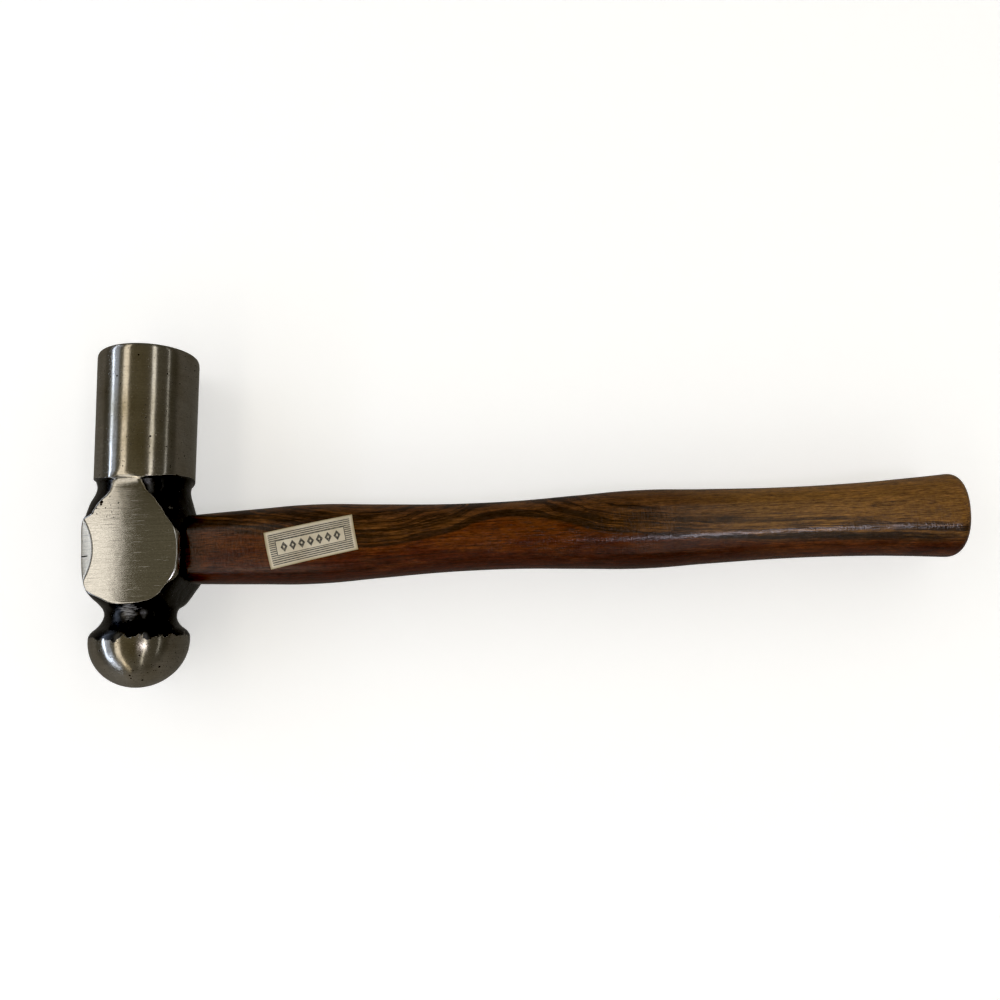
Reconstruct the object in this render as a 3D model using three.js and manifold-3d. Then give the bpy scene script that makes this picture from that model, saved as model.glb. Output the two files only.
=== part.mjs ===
// A ball peen hammer lying on its side. Millimetres, +Z up, +X along the handle to its free end and
// +Y along the head to the striking face. Every piece is drawn about the crossing of the head's axis
// and the handle's axis. The last group moves that crossing, so that the hammer lies on Z = 0 with its
// footprint centred on the origin.
import * as THREE from "three";
import { mergeVertices } from "three/addons/utils/BufferGeometryUtils.js";
import Module from "manifold-3d";

const wasm = await Module();
wasm.setup();

// ---------------------------------------------------------------- driving dimensions

const FIT_GAP = 0.3; // clear space between pieces that are driven together

const FACE_Y = 79.8; // striking face
const POLL_BASE_Y = 28.6; // where the poll's cylinder starts
const POLL_BASE_RADIUS = 18.8;
const POLL_FACE_RADIUS = 19.4;
const FACE_EDGE_LENGTH = 2.1; // the worn rounding round the striking face, along the poll
const FACE_EDGE_DEPTH = 0.7; // and across it

const BALL_CENTRE_Y = -34.4;
const BALL_RADIUS = 18.2;
const BALL_HEIGHT = 17.8; // the peen is a little flatter than a true ball

const GROOVE_DIP = 2.8; // the groove under the poll lies this much lower at the cheeks than at the eye

const CHEEK_HEIGHT = 16.3; // ground cheek flats, above and below the axis
const CHEEK_RUN_OUT_Y = 22; // the grinding wheel lifts off the cheek here
const WHEEL_RADIUS = 6.5;
const CHEEK_START_Y = -26;
const EYE_FACE_X = 19.4; // the flats that the eye opens on, at both ends of the eye

const EYE_WAIST = { x: 2, height: 11.9, width: 8.3 }; // half sizes of the oval eye, at its narrowest
const EYE_MOUTH = { height: 12.7, width: 9.1 }; // and at both of its mouths
const EYE_CUT_X = 22; // the eye's cutter runs past both faces

const TENON_END_X = -19.2; // sawn off flush with the head
const SHOULDER_X = EYE_FACE_X + FIT_GAP;
const GRIP_END_X = 319; // the handle's domed end starts here
const END_DOME = 6.8;
const END_DOME_POWER = 2.6;
const END_SLANT = 0.08; // the end is cut a little off square, further out on the striking side
const END_SLANT_START_X = 296;
const HANDLE_POWER = 2.2; // how square the handle's oval is: 2 is a true ellipse

const WOOD_WEDGE = { depth: 24, height: 11, thick: 3, thin: 1 }; // height is half its height
const STEEL_WEDGE = { depth: 13, width: 6, thick: 2.2, thin: 0.8, spacing: 5 }; // width is half its width

const LABEL = { x: 68, y: -0.6, length: 34, width: 14, turn: 10, thickness: 0.25 };

// The head between the peen and the poll, as sections across its axis. left and right are the half
// widths towards the top of the eye and towards the handle, depth is half the height before the
// cheeks are ground, and a power of 2 is round while a higher one is squarer.
const HEAD_SECTIONS = [
  { y: -34.4, left: 18.2, right: 18.2, depth: 18.2, leftPower: 2, rightPower: 2 },
  { y: -32.8, left: 18.1, right: 18.1, depth: 18.1, leftPower: 2, rightPower: 2 },
  { y: -31.2, left: 17.2, right: 17.2, depth: 17.2, leftPower: 2, rightPower: 2 },
  { y: -29.2, left: 15.1, right: 14.9, depth: 15, leftPower: 2, rightPower: 2 },
  { y: -27, left: 13.6, right: 13.5, depth: 13.5, leftPower: 2, rightPower: 2 },
  { y: -24.6, left: 12.9, right: 13.3, depth: 13.1, leftPower: 2, rightPower: 2 },
  { y: -22.6, left: 13, right: 13.7, depth: 14.6, leftPower: 2.1, rightPower: 2.1 },
  { y: -20.8, left: 13.8, right: 14.4, depth: 17.1, leftPower: 2.3, rightPower: 3 },
  { y: -18.5, left: 15.7, right: 15.4, depth: 18.3, leftPower: 2.6, rightPower: 4 },
  { y: -15.5, left: 17.7, right: 17.1, depth: 18.7, leftPower: 2.8, rightPower: 4.6 },
  { y: -12, left: 18.6, right: 19, depth: 18.9, leftPower: 2.9, rightPower: 5.6 },
  { y: -6, left: 19.3, right: 20, depth: 19, leftPower: 3, rightPower: 7 },
  { y: 0, left: 19.6, right: 20, depth: 19, leftPower: 3, rightPower: 7 },
  { y: 5, left: 20, right: 20, depth: 19.4, leftPower: 2.8, rightPower: 4.6 },
  { y: 10, left: 20.6, right: 19.8, depth: 20, leftPower: 2.4, rightPower: 2.8 },
  { y: 15, left: 20.4, right: 19.3, depth: 20.2, leftPower: 2.1, rightPower: 2.2 },
  { y: 19.5, left: 19.3, right: 18.2, depth: 19.2, leftPower: 2, rightPower: 2 },
  { y: 22.5, left: 17.9, right: 17.5, depth: 17.8, leftPower: 2, rightPower: 2 },
  { y: 25, left: 17.3, right: 17.3, depth: 17.3, leftPower: 2, rightPower: 2 },
  { y: 27.6, left: 17.8, right: 17.8, depth: 17.8, leftPower: 2, rightPower: 2 },
];
const HEAD_STEPS = [
  -33.6, -32.8, -32, -31.2, -30.2, -29.2, -28.1, -27, -25.8, -24.6, -23.6, -22.6, -21.7, -20.8, -19.7,
  -18.5, -17, -15.5, -13.8, -12, -9, -6, -3, 0, 2.5, 5, 7.5, 10, 12.5, 15, 17.3, 19.5, 21, 22.5, 23.8,
  25, 26.4, 27.6,
];

// The handle's half height across the head's axis and its half thickness, along its length.
const HANDLE_SECTIONS = [
  { x: 20, height: 13.6, thickness: 10.3 },
  { x: 46, height: 14.9, thickness: 11.4 },
  { x: 67, height: 15.7, thickness: 12 },
  { x: 93, height: 14.6, thickness: 11.5 },
  { x: 117, height: 13.55, thickness: 10.9 },
  { x: 132, height: 13.35, thickness: 10.8 },
  { x: 147, height: 13.5, thickness: 10.9 },
  { x: 171, height: 14.6, thickness: 11.7 },
  { x: 197, height: 15.65, thickness: 12.4 },
  { x: 222, height: 14.9, thickness: 12 },
  { x: 255, height: 14.22, thickness: 11.6 },
  { x: 285, height: 14.7, thickness: 11.9 },
  { x: 303, height: 15.6, thickness: 12.4 },
  { x: 320, height: 16.7, thickness: 13 },
];
const HANDLE_RINGS = 46;
const DOME_RINGS = 7;

// ---------------------------------------------------------------- finishes

const FINISH = {
  steel: { color: 0xb9b6ac, roughness: 0.3, metalness: 1 },
  rosewood: { color: 0x6b3a1e, roughness: 0.4, metalness: 0 },
  pale_wood: { color: 0xb98a55, roughness: 0.7, metalness: 0 },
  wedge_steel: { color: 0x77777a, roughness: 0.45, metalness: 1 },
  paper: { color: 0xcfc6ab, roughness: 0.8, metalness: 0 },
};

// ---------------------------------------------------------------- geometry helpers

// A smooth curve through a list of sections: it takes a place along the list's first value and gives
// the section there, with the same names.
function between(sections) {
  const [place, ...sizes] = Object.keys(sections[0]);
  const places = sections.map((section) => section[place]);
  const values = sections.flatMap((section) => sizes.map((size) => section[size]));
  const curve = new THREE.CubicInterpolant(places, values, sizes.length);
  return (at) => {
    const found = Array.from(curve.evaluate(at));
    return Object.fromEntries([[place, at], ...sizes.map((size, i) => [size, found[i]])]);
  };
}

// The radius of a squared oval in the direction (across, up), which has a length of 1.
function ovalRadius(across, up, halfAcross, halfUp, power) {
  const sum = Math.abs(across / halfAcross) ** power + Math.abs(up / halfUp) ** power;
  return sum ** (-1 / power);
}

// Drops the normals and the texture coordinates, so that touching corners become one, and the
// triangles that have no area.
function weld(geometry) {
  const bare = geometry.clone();
  bare.deleteAttribute("normal");
  bare.deleteAttribute("uv");
  const merged = mergeVertices(bare, 1e-4);
  const index = Array.from(merged.index.array);
  const kept = [];
  for (let i = 0; i < index.length; i += 3) {
    const [a, b, c] = index.slice(i, i + 3);
    if (a !== b && b !== c && c !== a) kept.push(a, b, c);
  }
  merged.setIndex(kept);
  return merged;
}

// A closed body along +Y, turned with one ring for each height and then reshaped: radiusAt gives a
// ring's radius in the direction (x, z), and liftAt how far that point moves along the axis. The first
// and the last ring are points on the axis.
function turned(heights, segments, radiusAt, liftAt = () => 0) {
  const last = heights.length - 1;
  const onAxis = (ring) => ring === 0 || ring === last;
  const profile = heights.map((height, ring) => new THREE.Vector2(onAxis(ring) ? 0 : 1, height));
  const geometry = new THREE.LatheGeometry(profile, segments);
  const position = geometry.attributes.position;
  for (let i = 0; i < position.count; i += 1) {
    const ring = i % heights.length;
    if (!onAxis(ring)) {
      const x = position.getX(i);
      const z = position.getZ(i);
      const radius = radiusAt(ring, x, z);
      position.setXYZ(i, x * radius, heights[ring] + liftAt(ring, x * radius, z * radius), z * radius);
    }
  }
  return weld(geometry);
}

function solid(geometry) {
  const mesh = geometry.index ? geometry : weld(geometry);
  const vertProperties = new Float32Array(mesh.attributes.position.array);
  const triVerts = new Uint32Array(mesh.index.array);
  return new wasm.Manifold(new wasm.Mesh({ numProp: 3, vertProperties, triVerts }));
}

function geometryOf(body) {
  const mesh = body.getMesh();
  const geometry = new THREE.BufferGeometry();
  geometry.setAttribute("position", new THREE.BufferAttribute(mesh.vertProperties, 3));
  geometry.setIndex(new THREE.BufferAttribute(mesh.triVerts, 1));
  return geometry;
}

// A block from its lowest to its highest corner.
function block(low, high) {
  const size = high.clone().sub(low);
  const middle = high.clone().add(low).multiplyScalar(0.5);
  const geometry = new THREE.BoxGeometry(size.x, size.y, size.z);
  return weld(geometry.translate(middle.x, middle.y, middle.z));
}

// ---------------------------------------------------------------- head

const headSection = between(HEAD_SECTIONS);

// The rings of the peen, from its pole to its widest ring.
function ballRings() {
  const rings = [];
  const steps = 10;
  for (let i = 0; i <= steps; i += 1) {
    const angle = (i / steps) * (Math.PI / 2);
    rings.push({ y: BALL_CENTRE_Y - BALL_HEIGHT * Math.cos(angle), round: BALL_RADIUS * Math.sin(angle) });
  }
  return rings;
}

// The rings of the poll, from its base to the middle of the striking face.
function pollRings() {
  const rings = [
    { y: POLL_BASE_Y - 0.3, round: POLL_BASE_RADIUS - 0.4 },
    { y: POLL_BASE_Y, round: POLL_BASE_RADIUS },
  ];
  const steps = 4;
  const edgeStart = FACE_Y - FACE_EDGE_LENGTH;
  for (let i = 0; i <= steps; i += 1) {
    const angle = (i / steps) * (Math.PI / 2);
    rings.push({
      y: edgeStart + FACE_EDGE_LENGTH * Math.sin(angle),
      round: POLL_FACE_RADIUS - FACE_EDGE_DEPTH * (1 - Math.cos(angle)),
    });
  }
  rings.push({ y: FACE_Y, round: 0 });
  return rings;
}

function headRadius(ring, x, z) {
  if ("round" in ring) return ring.round;
  const half = x < 0 ? ring.left : ring.right;
  const power = x < 0 ? ring.leftPower : ring.rightPower;
  return ovalRadius(x, z, half, ring.depth, power);
}

// How far the groove under the poll dips towards the cheeks: not at all below and above the groove.
function grooveDip(y, z) {
  const { smoothstep } = THREE.MathUtils;
  const near = smoothstep(y, 8, 22) * (1 - smoothstep(y, POLL_BASE_Y, 36));
  return -GROOVE_DIP * near * Math.min(1, Math.abs(z) / POLL_BASE_RADIUS) ** 2;
}

function forging() {
  const rings = [...ballRings(), ...HEAD_STEPS.map(headSection), ...pollRings()];
  const heights = rings.map((ring) => ring.y);
  const radiusAt = (i, x, z) => headRadius(rings[i], x, z);
  const liftAt = (i, x, z) => grooveDip(heights[i], z);
  return solid(turned(heights, 52, radiusAt, liftAt));
}

// What the grinding wheel takes off one cheek: side is 1 for the upper cheek and -1 for the lower.
function cheekCut(side) {
  const outside = 40;
  const reach = 30;
  const shape = new THREE.Shape();
  shape.moveTo(CHEEK_START_Y, CHEEK_HEIGHT);
  shape.lineTo(CHEEK_RUN_OUT_Y, CHEEK_HEIGHT);
  shape.absarc(CHEEK_RUN_OUT_Y, CHEEK_HEIGHT + WHEEL_RADIUS, WHEEL_RADIUS, -Math.PI / 2, 0, false);
  shape.lineTo(CHEEK_RUN_OUT_Y + WHEEL_RADIUS, outside);
  shape.lineTo(CHEEK_START_Y, outside);
  shape.closePath();
  const cut = new THREE.ExtrudeGeometry(shape, { depth: 2 * reach, bevelEnabled: false, curveSegments: 10 });
  cut.translate(0, 0, -reach);
  // the outline's own axes are Y and Z, and it runs along X
  const axes = new THREE.Matrix4().makeBasis(
    new THREE.Vector3(0, 1, 0),
    new THREE.Vector3(0, 0, 1),
    new THREE.Vector3(1, 0, 0),
  );
  cut.applyMatrix4(axes);
  if (side < 0) cut.rotateY(Math.PI);
  return solid(weld(cut));
}

// What is taken off the end of the eye on one side: side is 1 for the handle's side.
function eyeFaceCut(side) {
  const far = 30 * side;
  const near = EYE_FACE_X * side;
  const low = new THREE.Vector3(Math.min(near, far), -22, -30);
  const high = new THREE.Vector3(Math.max(near, far), 21, 30);
  return solid(block(low, high));
}

// The oval that runs along X, from its own list of sections, made smaller by inset all round.
function ovalBar(sections, inset, segments) {
  const at = between(sections);
  const [first, last] = [sections[0].x, sections.at(-1).x];
  const places = [first, first];
  const steps = 8;
  for (let i = 1; i < steps; i += 1) places.push(THREE.MathUtils.lerp(first, last, i / steps));
  places.push(last, last);
  const bar = turned(places, segments, (i, x, z) => {
    const section = at(places[i]);
    return ovalRadius(x, z, section.height - inset, section.width - inset, 2);
  });
  return solid(alongX(bar));
}

// Turns a body made along +Y to run along +X, with its x to -Y and its z left as it is.
function alongX(geometry) {
  return geometry.rotateZ(-Math.PI / 2);
}

const EYE_SECTIONS = [
  { x: -EYE_CUT_X, ...EYE_MOUTH },
  { x: EYE_WAIST.x, height: EYE_WAIST.height, width: EYE_WAIST.width },
  { x: EYE_CUT_X, ...EYE_MOUTH },
];

function head() {
  const cuts = [cheekCut(1), cheekCut(-1), eyeFaceCut(1), eyeFaceCut(-1), ovalBar(EYE_SECTIONS, 0, 32)];
  return geometryOf(cuts.reduce((body, cut) => body.subtract(cut), forging()));
}

// ---------------------------------------------------------------- handle

const handleSection = between(HANDLE_SECTIONS);

// The turned part of the handle, from its shoulder to its domed end.
function grip() {
  const rings = [{ x: SHOULDER_X }, { ...handleSection(SHOULDER_X), x: SHOULDER_X }];
  for (let i = 1; i <= HANDLE_RINGS; i += 1) {
    rings.push(handleSection(THREE.MathUtils.lerp(SHOULDER_X, GRIP_END_X, i / HANDLE_RINGS)));
  }
  const end = rings.at(-1);
  for (let i = 1; i <= DOME_RINGS; i += 1) {
    const angle = (i / DOME_RINGS) * (Math.PI / 2);
    const rise = Math.sin(angle) ** (2 / END_DOME_POWER);
    const share = Math.cos(angle) ** (2 / END_DOME_POWER);
    const x = GRIP_END_X + END_DOME * rise;
    rings.push({ x, height: end.height * share, thickness: end.thickness * share });
  }
  const places = rings.map((ring) => ring.x);
  const radiusAt = (i, x, z) => ovalRadius(x, z, rings[i].height, rings[i].thickness, HANDLE_POWER);
  const slant = (x) => END_SLANT * THREE.MathUtils.smoothstep(x, END_SLANT_START_X, GRIP_END_X);
  return solid(alongX(turned(places, 32, radiusAt, (i, x) => -x * slant(places[i]))));
}

// The tenon fills the eye, with the gap all round it.
function tenon() {
  const bar = ovalBar(EYE_SECTIONS, FIT_GAP, 32);
  const low = new THREE.Vector3(TENON_END_X, -20, -20);
  const high = new THREE.Vector3(EYE_CUT_X - 0.5, 20, 20);
  return bar.intersect(solid(block(low, high)));
}

// A wedge driven in along +X from the sawn end of the tenon. thick and thin are its thickness at the
// tenon's end and at its tip, and spread is half its other size. It lies in the XY plane.
function wedge({ depth, spread, thick, thin, grow = 0 }) {
  const start = TENON_END_X - grow;
  const tip = TENON_END_X + depth + grow;
  const outline = new THREE.Shape();
  outline.moveTo(start, -thick / 2 - grow);
  outline.lineTo(tip, -thin / 2 - grow);
  outline.lineTo(tip, thin / 2 + grow);
  outline.lineTo(start, thick / 2 + grow);
  outline.closePath();
  const width = 2 * (spread + grow);
  const body = new THREE.ExtrudeGeometry(outline, { depth: width, bevelEnabled: false });
  body.translate(0, 0, -width / 2);
  return body;
}

function woodWedgeShape(grow) {
  const { depth, height, thick, thin } = WOOD_WEDGE;
  return weld(wedge({ depth, spread: height, thick, thin, grow }).rotateX(Math.PI / 2));
}

function steelWedgeShape(y, grow) {
  const { depth, width, thick, thin } = STEEL_WEDGE;
  return weld(wedge({ depth, spread: width, thick, thin, grow }).translate(0, y, 0));
}

const STEEL_WEDGE_PLACES = [STEEL_WEDGE.spacing, -STEEL_WEDGE.spacing];

function handle() {
  const cuts = [woodWedgeShape(FIT_GAP), ...STEEL_WEDGE_PLACES.map((y) => steelWedgeShape(y, FIT_GAP))];
  const whole = grip().add(tenon());
  return geometryOf(cuts.reduce((body, cut) => body.subtract(solid(cut)), whole));
}

// The wooden wedge, notched where the steel wedges cross it.
function woodWedge() {
  const notches = STEEL_WEDGE_PLACES.map((y) => solid(steelWedgeShape(y, FIT_GAP)));
  return geometryOf(notches.reduce((body, cut) => body.subtract(cut), solid(woodWedgeShape(0))));
}

// ---------------------------------------------------------------- label

// How high the handle's surface lies above its axis.
function handleTop(x, y) {
  const { height, thickness } = handleSection(x);
  return thickness * (1 - Math.abs(y / height) ** HANDLE_POWER) ** (1 / HANDLE_POWER);
}

// The paper label, a thin sheet bent over the handle.
function label() {
  const { length, width, thickness, turn } = LABEL;
  const sheet = new THREE.BoxGeometry(length, width, 2 * thickness, 16, 10, 1);
  sheet.rotateZ(THREE.MathUtils.degToRad(turn));
  sheet.translate(LABEL.x, LABEL.y, 0);
  const bent = weld(sheet);
  const position = bent.attributes.position;
  for (let i = 0; i < position.count; i += 1) {
    const [x, y] = [position.getX(i), position.getY(i)];
    const layer = position.getZ(i) > 0 ? thickness : 0;
    position.setZ(i, handleTop(x, y) + FIT_GAP + layer);
  }
  return bent;
}

// ---------------------------------------------------------------- assembly

function piece(name, finish, geometry) {
  const material = new THREE.MeshStandardMaterial(FINISH[finish]);
  geometry.computeVertexNormals();
  const mesh = new THREE.Mesh(geometry, material);
  mesh.name = name;
  return mesh;
}

const crossing = new THREE.Group();
crossing.add(piece("head", "steel", head()));
crossing.add(piece("handle", "rosewood", handle()));
crossing.add(piece("wooden_wedge", "pale_wood", woodWedge()));
STEEL_WEDGE_PLACES.forEach((y, i) => {
  crossing.add(piece(`steel_wedge_${i + 1}`, "wedge_steel", steelWedgeShape(y, 0)));
});
crossing.add(piece("label", "paper", label()));

const box = new THREE.Box3().setFromObject(crossing, true);
const middle = box.getCenter(new THREE.Vector3());
crossing.position.set(-middle.x, -middle.y, -box.min.z);

const hammer = new THREE.Group();
hammer.add(crossing);

export default hammer;
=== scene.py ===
"""A ball peen hammer lying on its side: a forged and part lacquered head, wedged on a rosewood handle."""

import math

import bpy
import numpy as np
from mathutils import Matrix, Vector, kdtree, noise


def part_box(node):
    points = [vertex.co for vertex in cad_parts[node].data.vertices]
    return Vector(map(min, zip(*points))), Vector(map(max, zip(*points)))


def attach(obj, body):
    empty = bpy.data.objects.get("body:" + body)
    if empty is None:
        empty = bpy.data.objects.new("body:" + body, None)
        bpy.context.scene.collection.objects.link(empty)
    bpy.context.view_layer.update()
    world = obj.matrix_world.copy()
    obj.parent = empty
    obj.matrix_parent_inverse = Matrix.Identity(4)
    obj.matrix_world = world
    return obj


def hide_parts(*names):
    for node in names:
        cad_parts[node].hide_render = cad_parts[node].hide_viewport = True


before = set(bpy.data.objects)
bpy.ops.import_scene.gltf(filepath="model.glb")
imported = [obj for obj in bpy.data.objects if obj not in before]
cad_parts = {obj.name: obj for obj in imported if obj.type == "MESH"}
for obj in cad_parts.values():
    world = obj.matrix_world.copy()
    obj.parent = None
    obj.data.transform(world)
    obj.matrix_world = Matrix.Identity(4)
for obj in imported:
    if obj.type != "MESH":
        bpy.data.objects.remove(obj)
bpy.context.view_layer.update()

MM = 0.001

# The crossing of the head's axis and the handle's axis. Every size below is in millimetres from it,
# with x along the handle, y along the head to the striking face and z up.
HEAD_LOW, HEAD_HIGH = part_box("head")
WOOD_LOW, WOOD_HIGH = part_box("handle")
CROSSING = Vector(
    (
        (HEAD_LOW.x + HEAD_HIGH.x) / 2,
        (WOOD_LOW.y + WOOD_HIGH.y) / 2,
        (HEAD_LOW.z + HEAD_HIGH.z) / 2,
    )
)

# ---------------------------------------------------------------- sizes of the head

NOWHERE = 99.0  # a limit that is never met

BALL_CENTRE_Y = -34.4
BALL_RADIUS = 18.2
BALL_HEIGHT = 17.8
POLL_BASE_Y = 28.6
POLL_BASE_RADIUS = 18.8
POLL_FACE_RADIUS = 19.4
FACE_Y = (HEAD_HIGH.y - CROSSING.y) / MM
FACE_EDGE_LENGTH = 2.1
FACE_EDGE_DEPTH = 0.7
FACE_CROWN = 0.25  # the striking face is dressed very slightly round
CHEEK_CROWN = 0.35  # and hand grinding leaves the cheeks slightly round too
GROOVE_DIP = 2.8
CHEEK_HEIGHT = 16.3
CHEEK_START_Y = -26.0
CHEEK_RUN_OUT_Y = 22.0
WHEEL_RADIUS = 6.5
EYE_FACE_X = (HEAD_HIGH.x - CROSSING.x) / MM
EYE_FACE_START_Y, EYE_FACE_END_Y = -22.0, 21.0
EYE_END_BEVEL_X = 12.6  # a hand filed bevel between the cheek and the eye's upper end, shaped like a lens
EYE_END_BEVEL_Y = -1.5
EYE_END_BEVEL_HALF = 9.5
EYE_END_BEVEL_DEPTH = 2.2
EYE_END_BEVEL_SOFT = 0.4
EYE_END_EDGE_LEAN = math.radians(67.0)  # and its outer edge, filed steeper
EYE_END_SQUARE = 3.0  # how much squarer the head is there
EYE_END_BEVEL_FALL = math.tan(math.radians(19.5))
SKIN_WAVE = 0.16  # how uneven the hammer-forged skin is

# y, half width to the top of the eye, half width to the handle, half depth, and how square each side is
HEAD_SECTIONS = np.array(
    [
        (-34.4, 18.2, 18.2, 18.2, 2, 2),
        (-32.8, 18.1, 18.1, 18.1, 2, 2),
        (-31.2, 17.2, 17.2, 17.2, 2, 2),
        (-29.2, 15.1, 14.9, 15, 2, 2),
        (-27, 13.6, 13.5, 13.5, 2, 2),
        (-24.6, 12.9, 13.3, 13.1, 2, 2),
        (-22.6, 13, 13.7, 14.6, 2.1, 2.1),
        (-20.8, 13.8, 14.4, 17.1, 2.3, 3),
        (-18.5, 15.7, 15.4, 18.3, 2.6, 4),
        (-15.5, 17.7, 17.1, 18.7, 2.8, 4.6),
        (-12, 18.6, 19, 18.9, 2.9, 5.6),
        (-6, 19.3, 20, 19, 3, 7),
        (0, 19.6, 20, 19, 3, 7),
        (5, 20, 20, 19.4, 2.8, 4.6),
        (10, 20.6, 19.8, 20, 2.4, 2.8),
        (15, 20.4, 19.3, 20.2, 2.1, 2.2),
        (19.5, 19.3, 18.2, 19.2, 2, 2),
        (22.5, 17.9, 17.5, 17.8, 2, 2),
        (25, 17.3, 17.3, 17.3, 2, 2),
        (27.6, 17.8, 17.8, 17.8, 2, 2),
    ]
)
HEAD_AROUND = 300
SECTION_STEP = 0.34

# where the lacquer stops
LACQUER_ON_BALL_Y = -34.6
LACQUER_ON_BALL_RISE = 1.6  # it climbs towards the sides of the ball
LACQUER_ON_POLL_Y = 28.75
BARE_BEVEL = 2.0  # the bare strip beside the cheek, on the handle's side
BARE_EYE_END = 8.6  # half the bare length of the eye's upper end

EYE_MOUTH = (12.7, 9.1)
EYE_WAIST = (11.9, 8.3)
EYE_WAIST_X = 2.0
EYE_CUT_X = 22.0

# ---------------------------------------------------------------- sizes of the handle and what is on it

SHOULDER_X = EYE_FACE_X + 0.02
GRIP_END_X = 319.0
END_DOME = 6.8
END_DOME_POWER = 2.6
END_SLANT = 0.08
END_SLANT_START_X = 296.0
HANDLE_POWER = 2.2
# x, half height across the head's axis, half thickness
HANDLE_SECTIONS = [
    (19.4, 13.58, 10.25),
    (46, 14.9, 11.4),
    (67, 15.7, 12),
    (93, 14.6, 11.5),
    (117, 13.55, 10.9),
    (132, 13.35, 10.8),
    (147, 13.5, 10.9),
    (171, 14.6, 11.7),
    (197, 15.65, 12.4),
    (222, 14.9, 12),
    (255, 14.22, 11.6),
    (285, 14.7, 11.9),
    (303, 15.6, 12.4),
    (319, 16.65, 12.97),
]
TENON_SECTIONS = [
    (-EYE_CUT_X, *EYE_MOUTH),
    (-10, 12.3, 8.7),
    (EYE_WAIST_X, *EYE_WAIST),
    (12, 12.25, 8.65),
    (EYE_CUT_X, *EYE_MOUTH),
]
EYE_CLEAR = 0.04  # the tenon is driven tight into the eye
TENON_END_X = -19.2
WOOD_WEDGE = {"depth": 24.0, "half_width": 11.0, "thick": 3.0, "thin": 1.0}
STEEL_WEDGE = {"depth": 13.0, "half_width": 6.0, "thick": 2.2, "thin": 0.8}
STEEL_WEDGE_SPACING = 5.0
WEDGE_PROUD = 0.15

LABEL_X, LABEL_Y = 68.0, -0.6
LABEL_LENGTH, LABEL_WIDTH = 34.0, 14.0
LABEL_TURN = math.radians(10.0)
LABEL_THICKNESS = 0.12
LABEL_CLEAR = 0.03  # between the paper and the wood


# ---------------------------------------------------------------- helpers


def srgb(code):
    """A colour from its sRGB hex value, as linear red, green, blue and alpha."""
    parts = [int(code[i : i + 2], 16) / 255 for i in (1, 3, 5)]
    return tuple(p / 12.92 if p <= 0.04045 else ((p + 0.055) / 1.055) ** 2.4 for p in parts) + (1.0,)


def feed(tree, node, inputs):
    """Fills a node's inputs, named or numbered, with values, sockets or nodes, whose first output in use
    is then linked."""
    for name, value in inputs.items():
        used = [s for s in node.inputs if s.enabled]
        socket = used[name] if isinstance(name, int) else next(s for s in used if s.name == name)
        if isinstance(value, bpy.types.Node):
            value = next(s for s in value.outputs if s.enabled)
        if isinstance(value, bpy.types.NodeSocket):
            tree.links.new(value, socket)
        else:
            socket.default_value = value


def add(tree, kind, *given, **settings):
    """Adds a node with its settings. Its inputs are given in order, or by name in a dictionary, and the
    kind is written without the prefix that says which sort of tree it belongs to."""
    prefixes = (tree.bl_idname.removesuffix("Tree"), "ShaderNode", "Node")
    node = tree.nodes.new(next(p + kind for p in prefixes if hasattr(bpy.types, p + kind)))
    for name, value in settings.items():
        setattr(node, name, value)
    by_name = bool(given) and isinstance(given[0], dict)
    feed(tree, node, given[0] if by_name else dict(enumerate(given)))
    return node


def ramp(node, stops):
    """Sets a colour ramp's stops from (place, hex colour) pairs."""
    elements = node.color_ramp.elements
    while len(elements) < len(stops):
        elements.new(0.5)
    for element, (place, colour) in zip(elements, stops):
        element.position = place
        element.color = srgb(colour)
    return node


def curve(node, points):
    """Sets a float curve through points whose both values lie between 0 and 1."""
    line = node.mapping.curves[0]
    while len(line.points) < len(points):
        line.points.new(0.5, 0.5)
    for point, place in zip(line.points, points):
        point.location = place
        point.handle_type = "AUTO"
    node.mapping.update()
    return node


def to_frame(points):
    """Millimetres from the crossing, as metres in the frame."""
    return np.asarray(points, float) * MM + np.array(CROSSING)


def new_object(name, data):
    """A new object in the scene."""
    thing = bpy.data.objects.new(name, data)
    bpy.context.scene.collection.objects.link(thing)
    return thing


def mesh_object(name, vertices, faces):
    mesh = bpy.data.meshes.new(name)
    mesh.from_pydata(to_frame(vertices).tolist(), [], faces)
    mesh.validate()
    mesh.shade_smooth()
    return new_object(name, mesh)


def settled(piece):
    """Turns a piece with live modifiers into a plain mesh."""
    view = bpy.context.evaluated_depsgraph_get()
    mesh = bpy.data.meshes.new_from_object(piece.evaluated_get(view))
    piece.modifiers.clear()
    piece.data = mesh
    mesh.name = piece.name
    return piece


def cut(piece, cutters, operation="DIFFERENCE"):
    """Joins other solids to a piece, or cuts them out of it, and removes them from the scene."""
    for cutter in cutters:
        modifier = piece.modifiers.new("cut", "BOOLEAN")
        modifier.operation = operation
        modifier.solver = "EXACT"
        modifier.object = cutter
    settled(piece)
    for cutter in cutters:
        bpy.data.objects.remove(cutter)
    return piece


def finish_piece(piece, node):
    """Rides a piece on the hammer's one body, in place of its CAD node."""
    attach(piece, "root")
    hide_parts(node)


# ---------------------------------------------------------------- camera, floor and lights


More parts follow.
